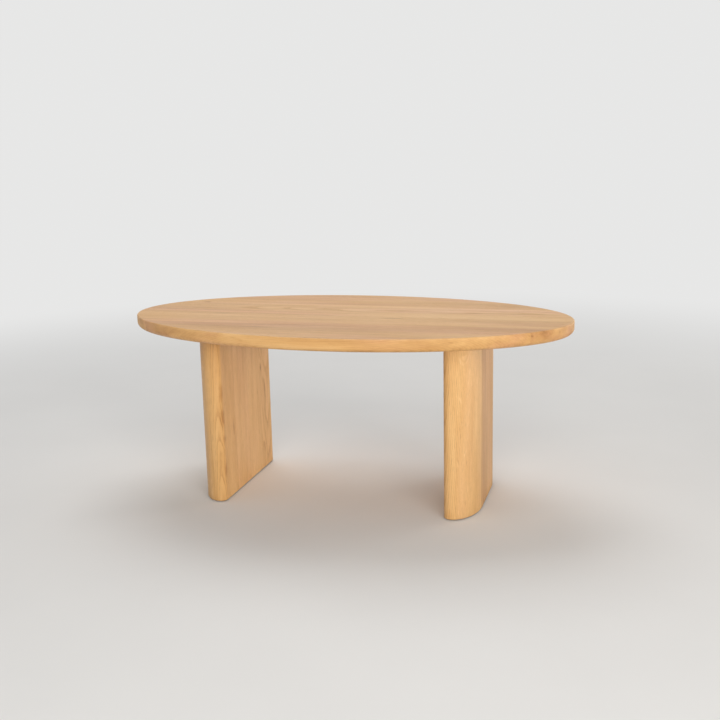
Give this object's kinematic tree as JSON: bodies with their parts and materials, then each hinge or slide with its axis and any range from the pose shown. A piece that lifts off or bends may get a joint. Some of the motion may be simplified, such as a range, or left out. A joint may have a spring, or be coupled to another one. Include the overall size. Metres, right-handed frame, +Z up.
{
  "type": "oval coffee table",
  "caption": "Low oval table in solid oak: a top of glued boards with a rolled rim on two slab legs, bolted to steel plates let in under the top.",
  "frame": {"origin": "on the floor under the middle of the top, level with the undersides of the glides", "axes": "+X along the length and the grain of the top, +Y to the back, +Z up"},
  "size_m": [1.05, 0.5599, 0.428],
  "materials": {
    "top_oak": "matt oiled oak, grain along the table",
    "leg_oak": "matt oiled oak, grain upright",
    "plate_steel": "black powder coat, fine texture",
    "screw_steel": "bright zinc plate",
    "insert_brass": "machined brass",
    "glide_plastic": "dark brown nylon"
  },
  "bodies": {
    "root": {"top_board_1": "top_oak", "top_board_2": "top_oak", "top_board_3": "top_oak", "top_board_4": "top_oak", "left_leg_stave_1": "leg_oak", "left_leg_stave_2": "leg_oak", "left_leg_stave_3": "leg_oak", "left_leg_stave_4": "leg_oak", "right_leg_stave_1": "leg_oak", "right_leg_stave_2": "leg_oak", "right_leg_stave_3": "leg_oak", "right_leg_stave_4": "leg_oak", "left_mounting_plate": "plate_steel", "left_plate_screws": "screw_steel", "right_mounting_plate": "plate_steel", "right_plate_screws": "screw_steel", "mounting_bolts": "screw_steel", "bolt_washers": "screw_steel", "threaded_inserts": "insert_brass", "foot_glides": "glide_plastic", "glide_screws": "screw_steel"}
  },
  "joints": []
}
